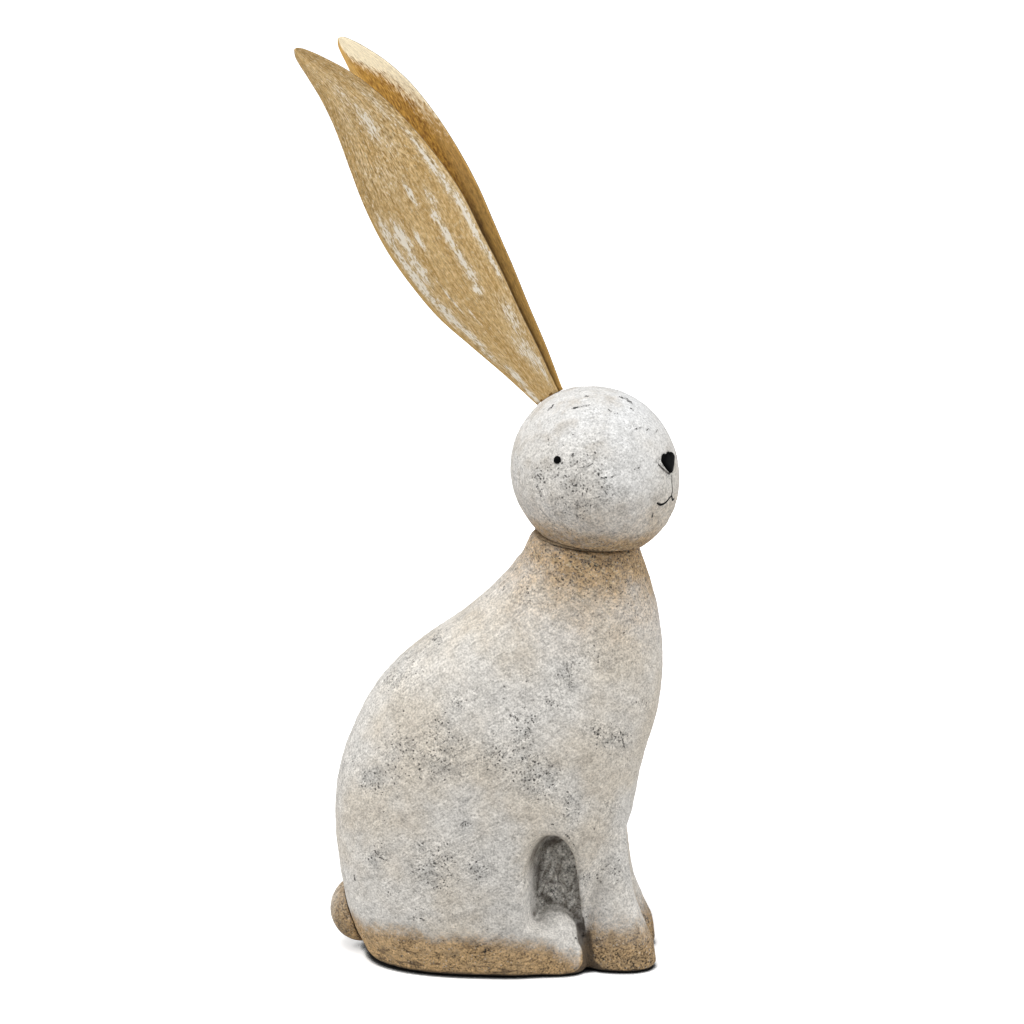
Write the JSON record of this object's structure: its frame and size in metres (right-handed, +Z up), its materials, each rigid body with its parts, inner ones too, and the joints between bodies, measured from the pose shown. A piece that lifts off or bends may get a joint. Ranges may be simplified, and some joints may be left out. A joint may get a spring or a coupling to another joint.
{
  "type": "rabbit figurine",
  "caption": "Sitting rabbit ornament: hollow lime-washed casting with a turned ball head, a round tail and long sheet-metal ears that plug into slots in the head.",
  "frame": {"origin": "on the ground, under the middle of the box that the whole figure fills", "axes": "+X is the way the body looks, +Y is the rabbit's left, +Z is up; the head is turned 23 degrees from +X towards -Y"},
  "size_m": [0.2512, 0.167, 0.5872],
  "materials": {
    "casting": "matt lime wash over a hand-trowelled casting, with dark pits and brown stain in the hollows and along the ground",
    "mortar": "rough brown mortar",
    "ear_sheet": "ochre-gold paint with worn off-white streaks along the leaf",
    "rod": "plain steel bar",
    "black": "black, soft gloss"
  },
  "bodies": {
    "figure": {"body_shell": "casting", "head": "casting", "tail": "casting", "neck_mortar": "mortar", "neck_dowel": "rod", "tail_pin": "rod", "right_eye": "black", "left_eye": "black", "nose": "black"},
    "right_ear": {"right_ear": "ear_sheet"},
    "left_ear": {"left_ear": "ear_sheet"}
  },
  "joints": [
    {"name": "right_ear_pull", "type": "slide", "parent": "figure", "child": "right_ear", "axis": [-0.5793, 0.2459, 0.7771], "range_m": [0, 0.036]},
    {"name": "left_ear_pull", "type": "slide", "parent": "figure", "child": "left_ear", "axis": [-0.5793, 0.2459, 0.7771], "range_m": [0, 0.036]}
  ]
}
